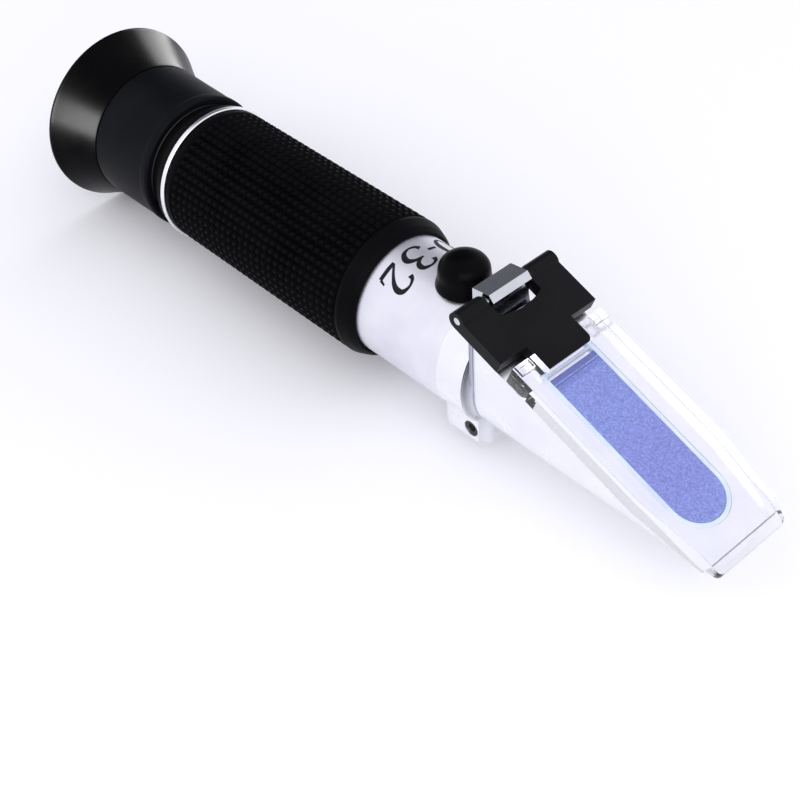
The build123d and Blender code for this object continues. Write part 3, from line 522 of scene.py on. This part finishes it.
# %% [markdown]
# The lathe copies an outline round an axis and joins each copy to the next. Most pieces turn
# round the optical axis. The cap turns round an upright axis at its own place along the barrel.

# %% Lathe


def lathe(name, outline, segments=160, upright_at=None):
    """Sweep a closed outline of (along, radius) in millimetres round +X, or round +Z at a place x."""
    vertices, faces = [], []
    count = len(outline)
    for s in range(segments):
        c, w = cos(tau * s / segments), sin(tau * s / segments)
        for along, r in outline:
            where = (along, r * c, r * w) if upright_at is None else (upright_at + r * c, r * w, along)
            vertices.append(Vector(where) * MM)
    for s in range(segments):
        a, b = s * count, (s + 1) % segments * count
        faces += [(a + k, a + (k + 1) % count, b + (k + 1) % count, b + k) for k in range(count)]
    made = mesh_object(name, vertices, faces)
    tidy_mesh(made.data)
    return made


print("lathe ready:", lathe.__name__)

# %% [markdown]
# ## Eyepiece end
# Outlines are pairs in millimetres: the place along the axis, then the radius. The cup's flare
# and bowl are true arcs, because a glossy surface shows every kink in its highlight.

# %% Eyecup and focus ring
flare = arc_through((0.8, 19.0), (5.6, 16.65), (10.7, 14.6))
bowl = arc_through((9.4, 12.0), (5.4, 15.0), (0.8, 17.7))
cup_outline = rounded(
    flare[1:] + [(10.7, 14.6, 0.2), (10.7, 12.0, 0.2), (14.0, 12.0, 0.3), (14.0, 8.4, 0.4),
                 (9.4, 8.4, 0.5)] + bowl + [(0.8, 17.7, 0.3), (0.0, 18.4, 0.5), (0.0, 19.0, 0.4),
                                            (0.8, 19.0, 0.5)], 0.3)
eyecup = place_piece(lathe("eyecup_moulded", cup_outline, 192), cup_rubber, "focus", "eyecup",
                     slot="cup_rubber")

ring_outline = rounded([
    (10.8, 12.05), (16.2, 12.05), (16.2, 10.6), (17.1, 10.6), (17.1, 12.96), (28.1, 12.96),
    (28.1, 14.1), (27.75, 14.5), (26.6, 14.5), (26.0, 14.38, 0.5), (11.1, 14.58, 0.1),
    (10.8, 14.45, 0.1)], 0.18)
focus_ring = place_piece(lathe("focus_ring_turned", ring_outline, 192), ring_black, "focus",
                         "focus_ring", slot="black_ring")
print("turned:", [len(o.data.polygons) for o in (eyecup, focus_ring)])

# %% Sleeve and trim ring
sleeve_outline = rounded([
    (18.9, 10.36), (32.2, 10.36), (32.2, 8.6), (42.0, 8.6), (42.0, 9.95), (33.2, 9.95), (33.2, 14.1),
    (31.5, 14.1), (31.0, 13.6), (31.0, 12.9), (28.3, 12.9), (28.3, 11.9), (27.0, 11.9), (27.0, 12.9),
    (19.3, 12.9), (18.9, 12.5)], 0.12)
sleeve = place_piece(lathe("eyepiece_sleeve_turned", sleeve_outline, 160), sleeve_black, "body",
                     "eyepiece_sleeve", slot="black_sleeve")

trim_outline = rounded([(33.25, 10.05), (34.35, 10.05), (34.35, 14.6), (33.25, 14.6)], 0.28)
trim = place_piece(lathe("trim_ring_turned", trim_outline, 192), trim_bright, "body", "trim_ring",
                   slot="bright_trim")
print("turned:", [len(o.data.polygons) for o in (sleeve, trim)])

# %% [markdown]
# ## Rubber cap of the calibration screw
# A soft domed cap that snaps over the screw's bush. Its skirt flares a little at the foot,
# where it is cut to sit on the round barrel, so after the lathe the foot's rings are
# lifted to follow the barrel's curve.

# %% Smooth curve


def smooth_through(points, steps=7):
    """A Catmull-Rom curve through the points, as a list of points without the last one."""
    found = []
    for i in range(len(points) - 1):
        p0, p1 = Vector(points[max(i - 1, 0)]), Vector(points[i])
        p2, p3 = Vector(points[i + 1]), Vector(points[min(i + 2, len(points) - 1)])
        for k in range(steps):
            t = k / steps
            found.append(tuple(0.5 * (2 * p1 + (p2 - p0) * t + (2 * p0 - 5 * p1 + 4 * p2 - p3) * t ** 2
                                      + (3 * p1 - p0 - 3 * p2 + p3) * t ** 3)))
    return found


print("a curve of three points:", len(smooth_through([(0, 0), (1, 1), (2, 0)])), "points")

# %% Cap
CAL_X = 106.3                   # mm along the barrel
BARREL_R = 12.15
CAP_CLEAR = 0.3                 # the skirt's foot stays this far off the barrel

dome = smooth_through([(11.75, 5.28), (12.3, 5.24), (13.1, 5.02), (14.0, 4.84), (15.2, 4.76),
                       (16.1, 4.55), (17.0, 3.95), (17.7, 2.95), (18.15, 1.6), (18.3, 0.0)])
inside = [(18.3, 0.0), (15.9, 0.0), (15.9, 4.0), (12.7, 4.0), (12.7, 4.5), (11.75, 4.5)]
cap = lathe("calibration_cap_moulded", dome + inside, 96, upright_at=CAL_X)
for vertex in cap.data.vertices:
    saddle = (max((BARREL_R + CAP_CLEAR) ** 2 - (vertex.co.y / MM) ** 2, 0)) ** 0.5
    vertex.co.z = max(vertex.co.z, saddle * MM)
place_piece(cap, cap_rubber, "cap", "calibration_cap", slot="cap_rubber")
print("cap:", len(cap.data.polygons), "faces")

# %% [markdown]
# ## Knurled grip
# The grip is moulded with a grid of small blunt pyramids, about fifty round the sleeve and
# twenty-eight along it. That repeats, so Geometry Nodes make it: points are laid out by
# index on a cylinder, one pyramid is instanced on each, turned to face outwards, and the
# instances are made real because the export keeps only plain meshes.

# %% One pyramid of the knurl
KNURL_START, KNURL_END = 36.2, 85.6     # mm along the axis
KNURL_ROWS, KNURL_AROUND = 28, 50
GROOVE_R, TIP_R = 13.55, 14.25


def pyramid(width, along):
    """One blunt pyramid, closed, its foot sunk a little into the sleeve."""
    # height in millimetres, and the share of the full width that is left there
    rings = [(-0.15, 0.97), (0.0, 0.95), (0.42, 0.62), (0.62, 0.46), (TIP_R - GROOVE_R, 0.3)]
    vertices, faces = [], []
    for height, share in rings:
        for x, y in ((-1, -1), (1, -1), (1, 1), (-1, 1)):
            vertices.append(Vector((x * share * along / 2, y * share * width / 2, height)) * MM)
    for k in range(len(rings) - 1):
        faces += [(4 * k + i, 4 * k + (i + 1) % 4, 4 * k + 4 + (i + 1) % 4, 4 * k + 4 + i)
                  for i in range(4)]
    top = 4 * (len(rings) - 1)
    faces += [(3, 2, 1, 0), (top, top + 1, top + 2, top + 3)]
    return mesh_object("knurl pyramid", vertices, faces)


row_pitch = (KNURL_END - KNURL_START) / KNURL_ROWS
unit = pyramid(tau * GROOVE_R / KNURL_AROUND, row_pitch)
print("pyramid:", len(unit.data.polygons), "faces, row pitch", round(row_pitch, 3), "mm")

# %% [markdown]
# The tree's inputs are the counts and sizes above. Dividing a point's index by the number
# round the sleeve gives its row as the whole part and its angle as the rest.

# %% Knurl tree


def knurl_tree():
    """Points on a cylinder by index, a pyramid on each, made real and given the grip's rubber."""
    tree = bpy.data.node_groups.new("knurl", "GeometryNodeTree")
    face = tree.interface
    face.new_socket("Sleeve", in_out="INPUT", socket_type="NodeSocketGeometry")
    for name, kind in (("Rows", "Int"), ("Around", "Int"), ("Start", "Float"), ("Row pitch", "Float"),
                       ("Radius", "Float"), ("Pyramid", "Object"), ("Rubber", "Material")):
        face.new_socket(name, in_out="INPUT", socket_type="NodeSocket" + kind)
    face.new_socket("Knurl", in_out="OUTPUT", socket_type="NodeSocketGeometry")
    sizes = add_node(tree, "NodeGroupInput").outputs
    count = add_node(tree, "ShaderNodeMath", {0: sizes["Rows"], 1: sizes["Around"]},
                     operation="MULTIPLY")
    index = add_node(tree, "GeometryNodeInputIndex").outputs[0]
    share = add_node(tree, "ShaderNodeMath", {0: index, 1: sizes["Around"]}, operation="DIVIDE")
    row = add_node(tree, "ShaderNodeMath", {0: share.outputs[0]}, operation="FLOOR")
    part = add_node(tree, "ShaderNodeMath", {0: share.outputs[0]}, operation="FRACT")
    angle = add_node(tree, "ShaderNodeMath", {0: part.outputs[0], 1: tau}, operation="MULTIPLY")
    across = add_node(tree, "ShaderNodeMath", {0: angle.outputs[0]}, operation="COSINE")
    up = add_node(tree, "ShaderNodeMath", {0: angle.outputs[0]}, operation="SINE")
    outward = add_node(tree, "ShaderNodeCombineXYZ", {"Y": across.outputs[0], "Z": up.outputs[0]})
    place = add_node(tree, "ShaderNodeVectorMath",
                     {0: outward.outputs[0], "Scale": sizes["Radius"]}, operation="SCALE")
    middle = add_node(tree, "ShaderNodeMath", {0: row.outputs[0], 1: 0.5}, operation="ADD")
    along = add_node(tree, "ShaderNodeMath",
                     {0: middle.outputs[0], 1: sizes["Row pitch"], 2: sizes["Start"]},
                     operation="MULTIPLY_ADD")
    shift = add_node(tree, "ShaderNodeCombineXYZ", {"X": along.outputs[0]})
    spot = add_node(tree, "ShaderNodeVectorMath", {0: place.outputs[0], 1: shift.outputs[0]},
                    operation="ADD")
    points = add_node(tree, "GeometryNodePoints",
                      {"Count": count.outputs[0], "Position": spot.outputs[0]})
    turn = add_node(tree, "FunctionNodeAxesToRotation", {0: outward.outputs[0], 1: (1.0, 0.0, 0.0)},
                    primary_axis="Z", secondary_axis="X")
    source = add_node(tree, "GeometryNodeObjectInfo", {"Object": sizes["Pyramid"]})
    copies = add_node(tree, "GeometryNodeInstanceOnPoints",
                      {"Points": points.outputs[0], "Instance": source.outputs["Geometry"],
                       "Rotation": turn.outputs[0]})
    real = add_node(tree, "GeometryNodeRealizeInstances", {"Geometry": copies.outputs[0]})
    joined = add_node(tree, "GeometryNodeJoinGeometry", {"Geometry": sizes["Sleeve"]})
    tree.links.new(real.outputs[0], joined.inputs["Geometry"])
    painted = add_node(tree, "GeometryNodeSetMaterial",
                       {"Geometry": joined.outputs[0], "Material": sizes["Rubber"]})
    add_node(tree, "NodeGroupOutput", {"Knurl": painted.outputs[0]})
    return tree


knurl = knurl_tree()
print("knurl tree:", len(knurl.nodes), "nodes")

# %% [markdown]
# The tree runs as a modifier on the plain sleeve, and its result is kept as an ordinary mesh.
# The sleeve has a raised ring at its rear end and a plain chamfered end towards the prism.

# %% Grip sleeve and its knurl


def grown(obj, tree, **sizes):
    """Run a geometry tree on an object and keep the result as its plain mesh."""
    modifier = obj.modifiers.new(tree.name, "NODES")
    modifier.node_group = tree
    for item in tree.interface.items_tree:
        if item.in_out == "INPUT" and item.name in sizes:
            modifier[item.identifier] = sizes[item.name]
    graph = bpy.context.evaluated_depsgraph_get()
    mesh = bpy.data.meshes.new_from_object(obj.evaluated_get(graph), depsgraph=graph)
    obj.modifiers.clear()
    obj.data = mesh
    return obj


grip_outline = rounded([
    (34.4, 12.2), (90.0, 12.2), (90.0, 12.75, 0.3), (88.9, 13.5, 0.9), (86.9, 14.22, 0.7),
    (86.2, 14.22, 0.2), (85.8, GROOVE_R, 0.15), (36.0, GROOVE_R, 0.15), (35.6, 14.2, 0.2),
    (34.8, 14.2, 0.2),
    (34.4, 13.85, 0.2)], 0.15)
grip = lathe("rubber_grip_knurled", grip_outline, 200)
grip = grown(grip, knurl, **{
    "Rows": KNURL_ROWS, "Around": KNURL_AROUND, "Start": KNURL_START * MM,
    "Row pitch": row_pitch * MM, "Radius": GROOVE_R * MM, "Pyramid": unit, "Rubber": grip_rubber})
bpy.data.objects.remove(unit)
place_piece(grip, grip_rubber, "body", "rubber_grip", slot="grip_rubber")
print("grip:", len(grip.data.polygons), "faces")

# %% [markdown]
# ## Machined and moulded pieces
# These shapes come straight from the CAD solids. A copy of each is merged into one mesh, its flat
# faces are joined back into single faces, and a Bevel modifier rounds only the real edges,
# by the width that tumbling, casting or moulding leaves.

# %% Softened copies
FLAT = radians(0.8)             # faces that bend less than this are one flat face
EDGE = radians(28.0)            # edges sharper than this are rounded


def softened(name, node, width_mm):
    """A copy of a CAD solid with its edges rounded by a real small radius."""
    mesh = NODES[node].data.copy()
    made = bpy.data.objects.new(name, mesh)
    bpy.context.scene.collection.objects.link(made)
    work = bmesh.new()
    work.from_mesh(mesh)
    bmesh.ops.remove_doubles(work, verts=work.verts, dist=MERGE)
    bmesh.ops.dissolve_limit(work, angle_limit=FLAT, verts=work.verts, edges=work.edges)
    work.to_mesh(mesh)
    work.free()
    mesh.shade_smooth()
    bevel = made.modifiers.new("rounded edges", "BEVEL")
    bevel.width = width_mm * MM
    bevel.segments = 2
    bevel.limit_method = "ANGLE"
    bevel.angle_limit = EDGE
    flat = made.modifiers.new("flat faces stay flat", "WEIGHTED_NORMAL")
    flat.keep_sharp = True
    graph = bpy.context.evaluated_depsgraph_get()
    made.data = bpy.data.meshes.new_from_object(made.evaluated_get(graph), depsgraph=graph)
    made.modifiers.clear()
    return made


print("edges above", round(EDGE / radians(1)), "degrees get rounded")

# %% [markdown]
# Each row gives the new name, the CAD node, the width of the rounded edge in millimetres, the
# finish, the body it moves with and its slot. Cast and lacquered pieces get the widest edges.

# %% Machined, cast and plated pieces
MACHINED = [
    ("barrel_anodised", "body_tube", 0.1, barrel_alloy, "body", "barrel_alloy"),
    ("prism_head_cast", "prism_head", 0.22, head_alloy, "body", "head_alloy"),
    ("hinge_lug_plated", "hinge_lug", 0.16, lug_nickel, "body", "lug_nickel"),
    ("hinge_pin_ground", "hinge_pin", 0.12, pin_steel, "body", "pin_steel"),
    ("hinge_block_lacquered", "hinge_block", 0.28, hinge_black, "daylight", "hinge_black"),
    ("daylight_plate_clear", "daylight_plate", 0.16, clear_acrylic, "daylight", "clear_plate"),
    ("main_prism_ground", "main_prism", 0.12, prism_glass, "body", "prism_glass"),
    ("prism_seal_cast", "prism_seal", 0.08, seal_cement, "body", "seal_cement"),
    ("calibration_bush_turned", "calibration_bush", 0.1, screw_steel, "body", "screw_steel"),
    ("calibration_screw_slotted", "calibration_screw", 0.1, brass, "calibration", "brass"),
    ("foot_screws_socket", "foot_screws", 0.12, screw_black, "body", "screw_black"),
    ("head_set_screws_socket", "head_set_screws", 0.08, screw_black, "body", "screw_black"),
]
for name, node, width, finish, body, slot in MACHINED:
    piece = place_piece(softened(name, node, width), finish, body, node, slot=slot)
    print(name, len(piece.data.polygons))

# %% [markdown]
# ## Printed range mark
# The barrel carries its measuring range, 0 to 32 percent, printed in black along the top. The
# figures have thick and thin strokes, so each is drawn as a line whose width changes along its
# way. The line is smoothed, given a few hundredths of a millimetre of thickness as ink has, and
# wrapped onto the barrel, tops towards the prism.

# %% Figures of the range mark
MARK_X = 92.1                   # foot of the figures along the barrel
INK_OVER, INK_UNDER = 0.025, 0.03       # mm above and below the barrel's surface
NIB_LEAST, NIB_SHARE = 0.08, 0.44       # half a stroke's width: the least, and a share of the drawn width
# for each figure its place round the barrel, then its strokes as (across, up, width) points
FIGURES = {
    "zero": (-9.6, [[(2.4, 6.5, 0.4), (0.9, 5.4, 0.9), (0.4, 3.3, 1.25), (0.9, 1.2, 0.9),
                     (2.4, 0.1, 0.4), (3.9, 1.2, 0.9), (4.4, 3.3, 1.25), (3.9, 5.4, 0.9),
                     (2.4, 6.5, 0.4)]]),
    "dash": (-4.2, [[(0.2, 2.6, 0.55), (2.0, 2.6, 0.55)]]),
    "three": (-1.7, [[(0.5, 5.1, 1.0), (0.9, 6.0, 0.6), (2.2, 6.45, 0.35), (3.6, 6.0, 0.9),
                      (3.9, 5.1, 1.15), (3.3, 4.1, 0.7), (2.0, 3.55, 0.3)],
                     [(1.6, 3.6, 0.3), (3.2, 3.35, 0.6), (4.3, 2.5, 1.15), (4.35, 1.6, 1.2),
                      (3.6, 0.5, 0.8), (2.2, 0.1, 0.35), (0.9, 0.5, 0.6), (0.4, 1.3, 1.0)]]),
    "two": (4.1, [[(0.6, 5.0, 1.0), (1.0, 5.9, 0.6), (2.3, 6.45, 0.4), (3.8, 6.0, 0.9),
                   (4.2, 4.9, 1.2), (3.7, 3.6, 0.9), (2.4, 2.2, 0.5), (0.5, 0.6, 0.35)],
                  [(0.3, 0.4, 0.7), (2.2, 0.4, 0.8), (4.3, 0.4, 0.75)],
                  [(4.3, 0.5, 0.5), (4.75, 1.7, 0.22)]]),
}
print("figures:", ", ".join(FIGURES))

# %% [markdown]
# A flat drawing is wrapped by turning its distance round the barrel into an angle. Each stroke
# becomes a closed ribbon with four corners at every step, two above the metal and two in it.

# %% Wrapping and inking


def wrap(u, v, r):
    """A point of the flat drawing, u round the barrel and v along it, on a cylinder of radius r."""
    angle = pi / 2 + u / BARREL_R
    return Vector((MARK_X + v, r * cos(angle), r * sin(angle))) * MM


def stroke(vertices, faces, start_u, points):
    """A closed ribbon of ink along a line of (u, v, width)."""
    path = smooth_through(points, 6) + [points[-1]]
    first = len(vertices)
    for i, (u, v, width) in enumerate(path):
        before, after = path[max(i - 1, 0)], path[min(i + 1, len(path) - 1)]
        side = Vector((before[1] - after[1], after[0] - before[0])).normalized()
        side = side * (NIB_LEAST + width * NIB_SHARE)
        for sign, r in ((1, BARREL_R + INK_OVER), (-1, BARREL_R + INK_OVER),
                        (-1, BARREL_R - INK_UNDER), (1, BARREL_R - INK_UNDER)):
            vertices.append(wrap(start_u + u + sign * side.x, v + sign * side.y, r))
    for i in range(len(path) - 1):
        a, b = first + 4 * i, first + 4 * i + 4
        faces += [(a + k, a + (k + 1) % 4, b + (k + 1) % 4, b + k) for k in range(4)]
    last = first + 4 * (len(path) - 1)
    faces += [(first + 3, first + 2, first + 1, first), (last, last + 1, last + 2, last + 3)]


ink_vertices, ink_faces = [], []
for start_u, strokes in FIGURES.values():
    for points in strokes:
        stroke(ink_vertices, ink_faces, start_u, points)
mark = mesh_object("range_mark_printed", ink_vertices, ink_faces)
tidy_mesh(mark.data)
place_piece(mark, ink, "body")
print("range mark:", len(mark.data.polygons), "faces")

# %% [markdown]
# ## Pieces inside
# Lenses, baffles, the carriage and the small screws are only seen through the eyepiece or
# with the plate open. Their CAD solids are already their true shape, so they keep it and only
# take their finish.

# %% Finishes for the inner pieces
INNER = {
    "lens_cell": inner_black, "lens_spacer": inner_black, "lens_retainer": brass,
    "eye_lens": lens_glass, "field_lens": lens_glass, "objective_lens": lens_glass,
    "guide_key": screw_steel, "focus_o_ring": o_ring, "head_o_ring": o_ring,
    "reticle_holder": inner_black, "reticle": lens_glass, "reticle_ring": inner_black,
    "baffle_rear": inner_black, "baffle_front": inner_black,
    "objective_carriage": brass, "bimetal_strip": bimetal, "strip_screws": screw_steel,
    "objective_cell": inner_black, "lug_screws": screw_steel, "plate_screws": screw_steel,
}
for node, finish in INNER.items():
    NODES[node].data.materials.clear()
    NODES[node].data.materials.append(finish)
print("inner pieces finished:", len(INNER))

# %% [markdown]
# The two strips beside the eyecup light one collection, and the eyecup alone is put in it.

# %% Polished rubber
polished.objects.link(eyecup)
